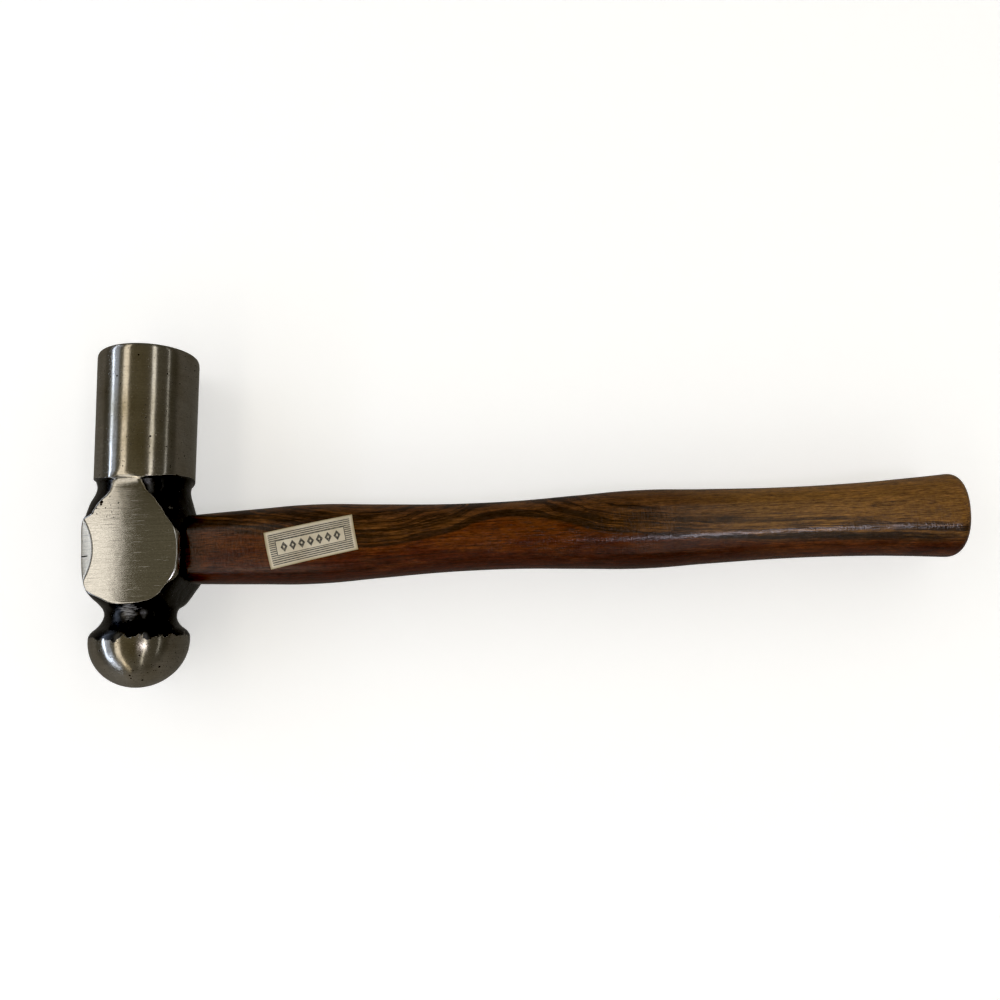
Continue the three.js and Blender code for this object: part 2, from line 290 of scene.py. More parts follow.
def make_camera():
    """The camera looks down on the hammer, a little from the ball's side, and leans by a few degrees."""
    position = Vector((133.3, -53.1, 333.1))
    target = Vector((141.1, 14.4, 0.0))
    lean = math.radians(2.6)
    back = (position - target).normalized()
    right = Vector((math.cos(lean), -math.sin(lean), 0.0))
    right = (right - right.dot(back) * back).normalized()
    up = back.cross(right)
    turn = Matrix((right, up, back)).transposed().to_4x4()
    data = bpy.data.cameras.new("camera")
    data.sensor_width = 36.0
    data.lens = 30.6
    data.clip_start = 0.01
    camera = new_object("camera", data)
    camera.matrix_world = Matrix.Translation(CROSSING + position * MM) @ turn
    bpy.context.scene.camera = camera


def floor_material():
    """Matt pale card, lit a little from inside, so that it stays pale all over."""
    material = bpy.data.materials.new("pale_card")
    material.use_nodes = True
    tree = material.node_tree
    looks = {"Base Color": srgb("#e9e9e8"), "Roughness": 0.9}
    glow = {"Emission Color": srgb("#f4f4f2"), "Emission Strength": 0.48}
    feed(tree, tree.nodes["Principled BSDF"], {**looks, **glow})
    return material


def make_stage():
    """A floor that curves up into a wall all round, as a paper sweep does."""
    around, flat, rise = 96, 2.2, 1.4
    profile = [(0.0, 0.0), (0.6, 0.0), (flat, 0.0)]
    for i in range(1, 13):
        angle = math.radians(90 * i / 12)
        profile.append((flat + rise * math.sin(angle), rise * (1 - math.cos(angle))))
    profile.append((flat + rise, 3.2))
    vertices, faces = [], []
    for radius, height in profile[1:]:
        for i in range(around):
            angle = 2 * math.pi * i / around
            vertices.append((radius * math.cos(angle), radius * math.sin(angle), height))
    centre = len(vertices)
    vertices.append((0.0, 0.0, 0.0))
    for ring in range(len(profile) - 2):
        for i in range(around):
            a, b = ring * around + i, ring * around + (i + 1) % around
            faces.append((a, a + around, b + around, b))
    faces += [(centre, i, (i + 1) % around) for i in range(around)]
    mesh = bpy.data.meshes.new("sweep")
    mesh.from_pydata(vertices, [], faces)
    mesh.shade_smooth()
    mesh.materials.append(floor_material())
    sweep = new_object("sweep", mesh)
    # the steel mirrors the dim room in place of the white card
    sweep.visible_glossy = False


def strip_light(name, seen_from, lean, reach, radiance, colour, distance=1.0):
    """A soft rectangle of light. lean is its two limits, in degrees from overhead towards the handle's
    end, and reach its two limits towards the striking face, both as seen from a point of the hammer."""
    middle = math.radians(sum(lean) / 2)
    half = math.radians(lean[1] - lean[0]) / 2
    near, far = (distance * math.tan(math.radians(angle)) for angle in reach)
    data = bpy.data.lights.new(name, "AREA")
    data.shape = "RECTANGLE"
    data.size, data.size_y = 2 * distance * math.tan(half), far - near
    data.energy = radiance * math.pi * data.size * data.size_y
    data.color = srgb(colour)[:3]
    lamp = new_object(name, data)
    outward = Vector((math.sin(middle), 0.0, math.cos(middle)))
    along = Vector((0.0, 1.0, 0.0))
    turn = Matrix((along.cross(outward), along, outward)).transposed().to_4x4()
    centre = CROSSING + Vector(seen_from) * MM + distance * outward + (near + far) / 2 * along
    lamp.matrix_world = Matrix.Translation(centre) @ turn


def make_lights():
    head, grip = (0.0, 10.0, 16.0), (236.0, -5.0, 11.0)
    strip_light("warm_panel", head, (-37.0, -24.1), (-60, 45), 1.3, "#fff5e6")
    strip_light("blue_window", head, (-66.0, -61.5), (-60, 45), 5.2, "#d3e2ff")
    strip_light("blue_glow", head, (-61.0, -49.0), (-60, 45), 0.5, "#d3e2ff")
    strip_light("warm_lamp", head, (-36.0, -26.0), (-72, -50), 1.6, "#ffedcc")
    strip_light("neutral_strip", head, (29.0, 36.5), (-60, 45), 1.3, "#fffcf6")
    strip_light("faint_strip", head, (65.0, 67.0), (-35, 45), 1.0, "#ffffff")
    strip_light("small_window", grip, (9.0, 26.0), (-21.0, -14.5), 8.0, "#f4efff")


def make_world():
    """A dim room, lighter towards its walls than overhead."""
    world = bpy.data.worlds.new("dim_room")
    world.use_nodes = True
    tree = world.node_tree
    tree.nodes.clear()
    direction = add(tree, "TexCoord")
    split = add(tree, "SeparateXYZ", direction.outputs["Generated"])
    share = add(tree, "MapRange", split.outputs["Z"], -1.0, 1.0)
    shade = ramp(
        add(tree, "ValToRGB", share),
        [
            *[(0.0, "#66635d"), (0.47, "#706c66"), (0.54, "#55524c")],
            *[(0.82, "#625e54"), (0.97, "#655e4c"), (1.0, "#6f6856")],
        ],
    )
    # the side towards the handle is the darker one
    side = add(tree, "MapRange", split.outputs["X"], -0.4, 0.6, 1.0, 0.8)
    end = add(tree, "MapRange", split.outputs["Y"], -0.9, -0.3, 1.35, 1.0)
    side = add(tree, "Math", side, end, operation="MULTIPLY")
    shade = add(tree, "VectorMath", shade, side, operation="SCALE")
    background = add(tree, "Background", {"Color": shade, "Strength": 1.0})
    add(tree, "OutputWorld", {"Surface": background})
    bpy.context.scene.world = world


# ---------------------------------------------------------------- the head


def spline(table, at):
    """A smooth curve through the rows of a table, by its first column."""
    places, values = table[:, 0], table[:, 1:]
    slopes = np.gradient(values, places, axis=0)
    i = np.clip(np.searchsorted(places, at) - 1, 0, len(places) - 2)
    step = (places[i + 1] - places[i])[:, None]
    t = ((at - places[i])[:, None]) / step
    return (
        values[i] * (2 * t**3 - 3 * t**2 + 1)
        + slopes[i] * step * (t**3 - 2 * t**2 + t)
        + values[i + 1] * (3 * t**2 - 2 * t**3)
        + slopes[i + 1] * step * (t**3 - t**2)
    )


def smoothstep(value, low, high):
    t = np.clip((value - low) / (high - low), 0, 1)
    return t * t * (3 - 2 * t)


def smooth_min(a, b, soft):
    """The lesser of two lengths, with the corner between them rounded over."""
    share = np.clip(0.5 + 0.5 * (b - a) / soft, 0, 1)
    return b * (1 - share) + a * share - soft * share * (1 - share)


def oval_radius(across, up, half_across, half_up, power):
    total = np.abs(across / half_across) ** power + np.abs(up / half_up) ** power
    return total ** (-1 / power)


def head_rings():
    """One row for each ring from the peen's pole to the face: y, three half sizes and two powers."""
    angle = np.linspace(0.02, math.pi / 2, 46)
    ball_y = BALL_CENTRE_Y - BALL_HEIGHT * np.cos(angle)
    ball = [(y, r, r, r, 2, 2) for y, r in zip(ball_y, BALL_RADIUS * np.sin(angle))]
    places = np.arange(HEAD_SECTIONS[0, 0] + SECTION_STEP, HEAD_SECTIONS[-1, 0], SECTION_STEP)
    middle = np.column_stack([places, spline(HEAD_SECTIONS, places)])
    poll = [
        (POLL_BASE_Y - 0.75, POLL_BASE_RADIUS - 0.95),
        (POLL_BASE_Y - 0.45, POLL_BASE_RADIUS - 0.7),
        (POLL_BASE_Y - 0.2, POLL_BASE_RADIUS - 0.3),
        (POLL_BASE_Y - 0.06, POLL_BASE_RADIUS - 0.08),
        (POLL_BASE_Y + 0.1, POLL_BASE_RADIUS),
    ]
    edge_start = FACE_Y - FACE_CROWN - FACE_EDGE_LENGTH
    for share in np.linspace(0.02, 1, 40):
        radius = POLL_BASE_RADIUS + share * (POLL_FACE_RADIUS - POLL_BASE_RADIUS)
        poll.append((POLL_BASE_Y + share * (edge_start - POLL_BASE_Y), radius))
    for turn in np.linspace(math.pi / 16, math.pi / 2, 8):
        radius = POLL_FACE_RADIUS - FACE_EDGE_DEPTH * (1 - math.cos(turn))
        poll.append((edge_start + FACE_EDGE_LENGTH * math.sin(turn), radius))
    rim = POLL_FACE_RADIUS - FACE_EDGE_DEPTH
    for share in np.linspace(0.97, 0.04, 12):
        poll.append((FACE_Y - FACE_CROWN * share**2, rim * share))
    return np.array(ball + middle.tolist() + [(y, r, r, r, 2, 2) for y, r in poll])


def cheek_height(y):
    """How high the ground cheek lies above the axis: it climbs off in the arc of the wheel."""
    run = np.clip(y - CHEEK_RUN_OUT_Y, 0, WHEEL_RADIUS)
    height = CHEEK_HEIGHT + WHEEL_RADIUS - np.sqrt(WHEEL_RADIUS**2 - run**2)
    past = (y > CHEEK_RUN_OUT_Y + WHEEL_RADIUS) | (y < CHEEK_START_Y)
    return np.where(past, NOWHERE, height)


def skin_noise(x, y, z):
    """The unevenness of the forged skin, for arrays of points."""
    points = np.column_stack([x.ravel(), y.ravel(), z.ravel()]) / 7.5
    values = [noise.noise(Vector(p)) + 0.4 * noise.noise(Vector(p) * 2.7) for p in points]
    return np.array(values).reshape(x.shape)


def handle_side(x, y):
    """1 beside the cheek on the handle's side, where its edge has been rubbed round and bare."""
    return smoothstep(y, -15, -11) * (1 - smoothstep(y, 3, 7)) * (x > 8)


def lacquer_reach(x, y, z, ring_y, cheek_gap):
    """How far inside the lacquer's edge each point lies, in millimetres: below 0 is bare steel."""
    side = np.abs(x) / np.maximum(np.hypot(x, z), 1e-6)
    from_ball = y - (LACQUER_ON_BALL_Y + LACQUER_ON_BALL_RISE * side**3)
    from_poll = LACQUER_ON_POLL_Y - ring_y + 0 * x
    from_cheek = cheek_gap - 0.12 - BARE_BEVEL * handle_side(x, y)
    half = BARE_EYE_END + 0.16 * (CHEEK_HEIGHT - np.abs(z))
    from_eye_end = np.where(x < -9, np.abs(y - 1) - half, 50.0)
    return np.minimum.reduce([from_ball, from_poll, from_cheek, from_eye_end])


def grid_faces(rings, around, first_pole, last_pole):
    """Quads between rings of points, closed by a fan at each pole."""
    faces = []
    for ring in range(rings - 1):
        low, high = ring * around, (ring + 1) * around
        for i in range(around):
            after = (i + 1) % around
            faces.append((low + i, low + after, high + after, high + i))
    last = (rings - 1) * around
    faces += [(first_pole, (i + 1) % around, i) for i in range(around)]
    faces += [(last_pole, last + i, last + (i + 1) % around) for i in range(around)]
    return faces


def make_head():
    rings = head_rings()
    angle = np.linspace(0, 2 * math.pi, HEAD_AROUND, endpoint=False)
    across, up = -np.cos(angle)[None, :], np.sin(angle)[None, :]
    ring_y, left, right, depth, left_power, right_power = (column[:, None] for column in rings.T)
    half = np.where(across < 0, left, right)
    full = smoothstep(ring_y, -20, -12) * (1 - smoothstep(ring_y, 6, 14))
    rounder = np.where(across < 0, left_power + 0.45 * full, right_power)
    rounder = oval_radius(across, up, half, depth, rounder)
    power = np.where(across < 0, left_power + EYE_END_SQUARE * full, right_power)
    radius = oval_radius(across, up, half, depth, power)
    edge_x, edge_z = math.sin(EYE_END_EDGE_LEAN), math.cos(EYE_END_EDGE_LEAN)
    edge = (rounder * (-across * edge_x + np.abs(up) * edge_z)).max(axis=1, keepdims=True)
    y = np.broadcast_to(ring_y, radius.shape)
    forged = smoothstep(y, -31, -25) * (1 - smoothstep(y, 26, POLL_BASE_Y))
    radius = radius + SKIN_WAVE * forged * skin_noise(radius * across, y, radius * up)
    x, z = radius * across, radius * up
    near = smoothstep(y, 8, 22) * (1 - smoothstep(y, POLL_BASE_Y, 36))
    y = y - GROOVE_DIP * near * np.minimum(1, np.abs(z) / POLL_BASE_RADIUS) ** 2
    height = cheek_height(y) - CHEEK_CROWN * np.minimum(1, (x / 18) ** 2)
    cheek_gap = height - np.abs(z)
    lens = EYE_END_BEVEL_DEPTH * ((y - EYE_END_BEVEL_Y) / EYE_END_BEVEL_HALF) ** 2
    past = -x - EYE_END_BEVEL_X - lens
    height = height - EYE_END_BEVEL_FALL * (past + np.hypot(past, EYE_END_BEVEL_SOFT)) / 2
    has_face = (y > EYE_FACE_START_Y) & (y < EYE_FACE_END_Y)
    eye_gap = np.where(has_face, EYE_FACE_X, NOWHERE) - np.abs(x)
    z = np.sign(z) * smooth_min(np.abs(z), height, 0.35 + 1.0 * handle_side(x, y))
    x = np.sign(x) * smooth_min(np.abs(x), eye_gap + np.abs(x), 0.5)
    outer = np.where(x < 0, (edge - np.abs(z) * edge_z) / edge_x, NOWHERE)
    x = np.sign(x) * smooth_min(np.abs(x), outer, 0.2)
    reach = lacquer_reach(x, y, z, ring_y, cheek_gap)
    ground = np.maximum(-cheek_gap, -eye_gap)
    vertices = np.column_stack([x.ravel(), y.ravel(), z.ravel()])
    poles = [(0, BALL_CENTRE_Y - BALL_HEIGHT, 0), (0, FACE_Y, 0)]
    count = len(vertices)
    faces = grid_faces(len(rings), HEAD_AROUND, count, count + 1)
    head = mesh_object("head_forging", np.vstack([vertices, poles]), faces)
    marks = np.column_stack([reach.ravel(), ground.ravel(), past.ravel()])
    marks = np.vstack([marks, [(-9, -9, -9), (-9, -9, -9)]])
    before = kdtree.KDTree(count + 2)
    for i, vertex in enumerate(head.data.vertices):
        before.insert(vertex.co, i)
    before.balance()
    cut(head, [oval_bar("eye", TENON_SECTIONS, -EYE_CUT_X, EYE_CUT_X, 2.0)])
    nearest = [before.find(vertex.co)[1] for vertex in head.data.vertices]
    for name, values in zip(("lacquer", "ground", "filed"), marks[nearest].T):
        layer = head.data.attributes.new(name, "FLOAT", "POINT")
        layer.data.foreach_set("value", values.astype(np.float32))
    head.data.set_sharp_from_angle(angle=math.radians(38))
    head.data.materials.append(steel_material())
    finish_piece(head, "head")


# ---------------------------------------------------------------- bars with an oval section


def start_shape(name, inputs):
    """A new geometry nodes tree with its named inputs, and the sockets that give their values."""
    tree = bpy.data.node_groups.new(name, "GeometryNodeTree")
    tree.interface.new_socket("Geometry", in_out="OUTPUT", socket_type="NodeSocketGeometry")
    for title, value in inputs.items():
        kind = "NodeSocketInt" if isinstance(value, int) else "NodeSocketFloat"
        tree.interface.new_socket(title, in_out="INPUT", socket_type=kind).default_value = value
    return tree, add(tree, "GroupInput").outputs


def end_shape(tree, geometry):
    """Gives a tree's geometry its material and hands it out."""
    plain = add(tree, "RealizeInstances", geometry)
    add(tree, "GroupOutput", add(tree, "SetMaterial", {"Geometry": plain}))
    return tree


def in_frame(tree, point):
    """Millimetres from the crossing, as metres in the frame."""
    return add(tree, "VectorMath", point, (MM, MM, MM), tuple(CROSSING), operation="MULTIPLY_ADD")


def bar_tree(name, sections):
    """Geometry nodes for a bar along x whose oval section follows a height curve and a thickness
    curve. Its inputs are in millimetres from the crossing."""
    sizes = {"Start": 0.0, "End": 100.0, "Dome": 0.0, "Dome Power": 2.0, "Oval Power": 2.0, "Inset": 0.0}
    sizes |= {"Slant": 0.0, "Slant Start": 0.0, "Rings": 300, "Around": 128}
    tree, given = start_shape(name, sizes)
    cap_share, dome_share = 0.02, 0.94

    grid = add(tree, "MeshGrid", 1.0, 1.0, given["Rings"], given["Around"])
    place = add(tree, "SeparateXYZ", add(tree, "InputPosition"))
    along = add(tree, "Math", place.outputs["X"], 0.5, operation="ADD")
    turn = add(tree, "Math", place.outputs["Y"], 2 * math.pi, operation="MULTIPLY")
    cosine = add(tree, "Math", turn, operation="COSINE")
    sine = add(tree, "Math", turn, operation="SINE")

    # the place along the bar, then the rise and the shrinking of its domed end
    body = add(tree, "MapRange", along, cap_share, dome_share, given["Start"], given["End"])
    angle = add(tree, "MapRange", along, dome_share, 1.0, 0.0, math.pi / 2)
    dome_exponent = add(tree, "Math", 2.0, given["Dome Power"], operation="DIVIDE")
    rise = add(tree, "Math", angle, operation="SINE")
    rise = add(tree, "Math", rise, dome_exponent, operation="POWER")
    shrink = add(tree, "Math", angle, operation="COSINE")
    shrink = add(tree, "Math", shrink, 0.0, operation="MAXIMUM")
    shrink = add(tree, "Math", shrink, dome_exponent, operation="POWER")
    cap = add(tree, "MapRange", along, 0.0, cap_share)
    share = add(tree, "Math", shrink, cap, operation="MULTIPLY")

    # the section there
    first, last = sections[0][0], sections[-1][0]
    at = add(tree, "MapRange", body, first, last)
    halves = []
    for column in (1, 2):
        top = 1.25 * max(row[column] for row in sections)
        points = [((row[0] - first) / (last - first), row[column] / top) for row in sections]
        found = curve(add(tree, "FloatCurve", {"Value": at}), points)
        half = add(tree, "Math", found, top, operation="MULTIPLY")
        halves.append(add(tree, "Math", half, given["Inset"], operation="SUBTRACT"))
    terms = []
    for part, half in zip((cosine, sine), halves):
        ratio = add(tree, "Math", part, half, operation="DIVIDE")
        ratio = add(tree, "Math", ratio, operation="ABSOLUTE")
        terms.append(add(tree, "Math", ratio, given["Oval Power"], operation="POWER"))
    total = add(tree, "Math", terms[0], terms[1], operation="ADD")
    exponent = add(tree, "Math", -1.0, given["Oval Power"], operation="DIVIDE")
    radius = add(tree, "Math", total, exponent, operation="POWER")
    radius = add(tree, "Math", radius, share, operation="MULTIPLY")
    y = add(tree, "Math", radius, cosine, operation="MULTIPLY")
    z = add(tree, "Math", radius, sine, operation="MULTIPLY")

    # the end is cut a little off square
    lean = (body, given["Slant Start"], given["End"], 0.0, given["Slant"])
    lean = add(tree, "MapRange", *lean, interpolation_type="SMOOTHSTEP")
    lean = add(tree, "Math", lean, y, operation="MULTIPLY")
    x = add(tree, "Math", rise, given["Dome"], body, operation="MULTIPLY_ADD")
    x = add(tree, "Math", x, lean, operation="ADD")
    point = add(tree, "CombineXYZ", x, y, z)
    point = in_frame(tree, point)
    moved = add(tree, "SetPosition", {"Geometry": grid, "Position": point})
    closed = add(tree, "MergeByDistance", {"Geometry": moved, "Distance": 0.000004})
    outward = add(tree, "FlipFaces", {"Mesh": closed})
    smooth = add(tree, "SetShadeSmooth", {"Geometry": outward})
    return end_shape(tree, smooth)


def from_tree(name, tree, sizes, material=None):
    """A new piece made by a geometry nodes tree, with the tree's named inputs set from sizes."""
    piece = new_object(name, bpy.data.meshes.new(name))
    modifier = piece.modifiers.new("shape", "NODES")
    modifier.node_group = tree
    for socket in tree.interface.items_tree:
        if socket.in_out == "INPUT" and socket.name in sizes:
            modifier[socket.identifier] = sizes[socket.name]
    for node in tree.nodes:
        if node.bl_idname == "GeometryNodeSetMaterial":
            node.inputs["Material"].default_value = material
    return settled(piece)


def oval_bar(name, sections, start, end, power, inset=0.0, rings=90, around=96, **sizes):
    tree = bar_tree(name, sections)
    sizes |= {"Start": start, "End": end, "Oval Power": power}
    sizes |= {"Inset": inset, "Rings": rings, "Around": around}
    return from_tree(name, tree, sizes)


# ---------------------------------------------------------------- handle and wedges


def wedge_tree():
    """Geometry nodes for a wedge driven in along x: it thins towards its tip, and its struck end is dented."""
    titles = ("Start", "Depth", "Half Width", "Thick", "Thin", "Place", "Dent", "Turned")
    tree, given = start_shape("driven_wedge", dict.fromkeys(titles, 0.0))
    block = add(tree, "MeshCube", (1.0, 1.0, 1.0), 24, 9, 40)
    place = add(tree, "SeparateXYZ", add(tree, "InputPosition"))
    deep = add(tree, "Math", place.outputs["X"], 0.5, operation="ADD")
    thickness = add(tree, "MapRange", deep, 0.0, 1.0, given["Thick"], given["Thin"])
    struck = add(tree, "MapRange", deep, 0.0, 0.06, 1.0, 0.0)
    wobble = add(tree, "TexNoise", {"Vector": add(tree, "InputPosition"), "Scale": 7.0, "Detail": 2.0})
    dent = add(tree, "Math", wobble, given["Dent"], operation="MULTIPLY")
    dent = add(tree, "Math", dent, struck, operation="MULTIPLY")
    x = add(tree, "Math", deep, given["Depth"], given["Start"], operation="MULTIPLY_ADD")
    x = add(tree, "Math", x, dent, operation="ADD")
    thin_way = add(tree, "Math", place.outputs["Y"], thickness, operation="MULTIPLY")
    width = add(tree, "Math", given["Half Width"], 2.0, operation="MULTIPLY")
    wide_way = add(tree, "Math", place.outputs["Z"], width, operation="MULTIPLY")
    y = add(tree, "Mix", given["Turned"], thin_way, wide_way, data_type="FLOAT")
    z = add(tree, "Mix", given["Turned"], wide_way, thin_way, data_type="FLOAT")
    y = add(tree, "Math", y, given["Place"], operation="ADD")
    point = add(tree, "CombineXYZ", x, y, z)
    point = in_frame(tree, point)
    moved = add(tree, "SetPosition", {"Geometry": block, "Position": point})
    return end_shape(tree, moved)


def wedge_sizes(wedge, place, turned, proud=0.0, grow=0.0, dent=0.0):
    return {
        "Start": TENON_END_X - proud - grow,
        "Depth": wedge["depth"] + proud + 2 * grow,
        "Half Width": wedge["half_width"] + grow,
        "Thick": wedge["thick"] + 2 * grow,
        "Thin": wedge["thin"] + 2 * grow,
        "Place": place,
        "Turned": turned,
        "Dent": dent,
    }


def make_handle_and_wedges():
    handle = oval_bar(
        "handle_rosewood",
        HANDLE_SECTIONS,
        SHOULDER_X,
        GRIP_END_X,
        HANDLE_POWER,
        rings=420,
        around=160,
        Dome=END_DOME,
        **{"Dome Power": END_DOME_POWER, "Slant": END_SLANT, "Slant Start": END_SLANT_START_X},
    )
    tenon = oval_bar("tenon", TENON_SECTIONS, TENON_END_X, EYE_CUT_X, 2.0, inset=EYE_CLEAR)
    cut(handle, [tenon], "UNION")
    tree = wedge_tree()
    slots = [from_tree("slot", tree, wedge_sizes(WOOD_WEDGE, 0.0, 1.0, grow=0.03))]
    for place in (STEEL_WEDGE_SPACING, -STEEL_WEDGE_SPACING):
        slots.append(from_tree("slot", tree, wedge_sizes(STEEL_WEDGE, place, 0.0, grow=0.03)))
    cut(handle, slots)
    handle.data.set_sharp_from_angle(angle=math.radians(40))
    handle.data.materials.clear()
    handle.data.materials.append(rosewood_material())
    finish_piece(handle, "handle")

    wood = wedge_sizes(WOOD_WEDGE, 0.0, 1.0, proud=WEDGE_PROUD, dent=0.12)
    wooden = from_tree("wooden_wedge_driven", tree, wood, wedge_wood_material())
    notches = []
    for i, place in enumerate((STEEL_WEDGE_SPACING, -STEEL_WEDGE_SPACING), 1):
        sizes = wedge_sizes(STEEL_WEDGE, place, 0.0, proud=WEDGE_PROUD + 0.1, dent=0.2)
        steel = from_tree(f"steel_wedge_{i}_driven", tree, sizes, wedge_steel_material())
        finish_piece(steel, f"steel_wedge_{i}")
        notches.append(from_tree("notch", tree, wedge_sizes(STEEL_WEDGE, place, 0.0, proud=1.0, grow=0.03)))
    cut(wooden, notches)
    finish_piece(wooden, "wooden_wedge")
    return handle


# ---------------------------------------------------------------- label


def label_tree(handle):
    """Geometry nodes that lay a sheet of paper on the handle, follow its surface and give it its
    thickness. The sheet's own length and width stay with it as its UV map."""
    titles = ("Length", "Width", "Turn", "X", "Y", "Thickness")
    tree, given = start_shape("glued_label", dict.fromkeys(titles, 0.0))
    sheet = add(tree, "MeshGrid", given["Length"], given["Width"], 120, 64)
    flat = {"Geometry": sheet, "Name": "UVMap", "Value": sheet.outputs["UV Map"]}
    marked = add(tree, "StoreNamedAttribute", flat, data_type="FLOAT2", domain="CORNER")
    spin = add(tree, "CombineXYZ", 0.0, 0.0, given["Turn"])
    shift = add(tree, "CombineXYZ", given["X"], given["Y"], 40.0)
    laid = add(tree, "Transform", {"Geometry": marked, "Translation": shift, "Rotation": spin})
    start = in_frame(tree, add(tree, "InputPosition"))
    wood = add(tree, "ObjectInfo", {"Object": handle})
    down = {"Source Position": start, "Ray Direction": (0.0, 0.0, -1.0), "Ray Length": 0.1}
    down["Target Geometry"] = wood.outputs["Geometry"]
    ray = add(tree, "Raycast", down, data_type="FLOAT_VECTOR")
    clear = (LABEL_CLEAR * MM, LABEL_CLEAR * MM, LABEL_CLEAR * MM)
    lift = (ray.outputs["Hit Normal"], clear, ray.outputs["Hit Position"])
    lift = add(tree, "VectorMath", *lift, operation="MULTIPLY_ADD")
    bent = add(tree, "SetPosition", {"Geometry": laid, "Position": lift})
    thickness = add(tree, "Math", given["Thickness"], MM, operation="MULTIPLY")
    top = add(tree, "ExtrudeMesh", {"Mesh": bent, "Offset Scale": thickness, "Individual": False})
    under = add(tree, "FlipFaces", bent)
    both = tree.nodes.new("GeometryNodeJoinGeometry")
    tree.links.new(top.outputs["Mesh"], both.inputs[0])
    tree.links.new(under.outputs[0], both.inputs[0])
    closed = add(tree, "MergeByDistance", {"Geometry": both, "Distance": 0.000005})
    return end_shape(tree, closed)


def make_label(handle):
    sizes = {
        "Length": LABEL_LENGTH,
        "Width": LABEL_WIDTH,
        "Turn": LABEL_TURN,
        "X": LABEL_X,
        "Y": LABEL_Y,
        "Thickness": LABEL_THICKNESS,
    }
    label = from_tree("label_printed", label_tree(handle), sizes, label_material())
    label.data.shade_smooth()
    label.data.set_sharp_from_angle(angle=math.radians(50))
    finish_piece(label, "label")


# ---------------------------------------------------------------- materials


def start_material(name):
    """A new material with its node tree, its shader, and this object's own millimetres from the
    crossing as the coordinates of its patterns."""
    material = bpy.data.materials.new(name)
    material.use_nodes = True
    tree = material.node_tree
    shader = tree.nodes["Principled BSDF"]
    coordinates = add(tree, "TexCoord")
    shift = {"Location": tuple(-c / MM for c in CROSSING), "Scale": (1 / MM, 1 / MM, 1 / MM)}
    to_mm = add(tree, "Mapping", {"Vector": coordinates.outputs["Object"], **shift})
    return material, tree, shader, to_mm


def stretched(tree, point, scale, **inputs):
    """A noise pattern with its own scale, in repeats per millimetre, along x, y and z."""
    scaled = add(tree, "VectorMath", point, scale, operation="MULTIPLY")
    return add(tree, "TexNoise", {"Vector": scaled, "Scale": 1.0, **inputs})


def near_to(tree, point, spot, start, stop, here, beyond):
    """A value that goes from here to beyond with the distance from a spot, between start and stop."""
    away = add(tree, "VectorMath", point, spot, operation="DISTANCE")
    return add(tree, "MapRange", away, start, stop, here, beyond)


